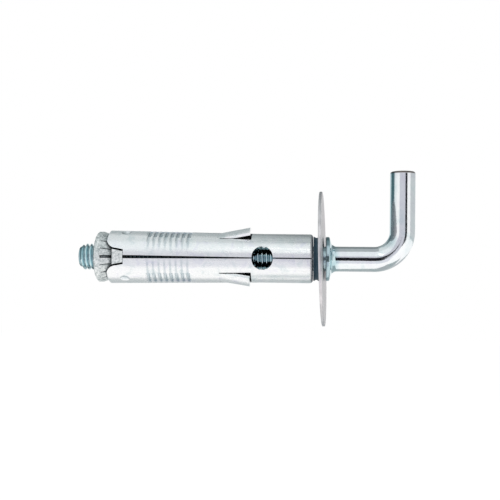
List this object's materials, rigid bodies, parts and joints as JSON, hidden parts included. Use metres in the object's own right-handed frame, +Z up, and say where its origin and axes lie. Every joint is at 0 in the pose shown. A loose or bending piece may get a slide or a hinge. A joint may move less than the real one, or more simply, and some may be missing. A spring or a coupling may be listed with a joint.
{
  "type": "hook anchor",
  "caption": "Expansion anchor for masonry: a threaded hook bolt with a collar and washer draws a cone nut into a slit steel sleeve.",
  "frame": {"origin": "on the bolt's axis at the wall surface, which is the outer face of the spacer ring", "axes": "+X along the bolt out of the wall towards the hook, +Z up along the hook's arm, +Y away from the sleeve's seam"},
  "size_m": [0.0992, 0.0394, 0.0454],
  "materials": {
    "bright_zinc": "bright zinc plating with a blue passivation",
    "washer_zinc": "pale zinc plating, satin",
    "dark_plastic": "moulded, satin",
    "satin_zinc": "zinc plating over rolled sheet, satin",
    "cast_zinc": "as cast, dull"
  },
  "bodies": {
    "sleeve": {"expansion_sleeve": "satin_zinc"},
    "hook": {"hook_bolt": "bright_zinc", "spacer_ring": "dark_plastic"},
    "nut": {"cone_nut": "cast_zinc"},
    "washer": {"washer": "washer_zinc"}
  },
  "joints": [
    {"name": "hook_turn", "type": "hinge", "parent": "sleeve", "child": "hook", "pos_m": [0, 0, 0], "axis": [1, 0, 0], "range_deg": [0, 1440]},
    {"name": "nut_travel", "type": "slide", "parent": "sleeve", "child": "nut", "axis": [-1, 0, 0], "range_m": [0, 0.00501]},
    {"name": "washer_spin", "type": "hinge", "parent": "hook", "child": "washer", "pos_m": [0, 0, 0], "axis": [1, 0, 0], "continuous": true}
  ],
  "couplings": [
    {"joint": "nut_travel", "follows": "hook_turn", "m_per_rad": 0.00019894}
  ]
}
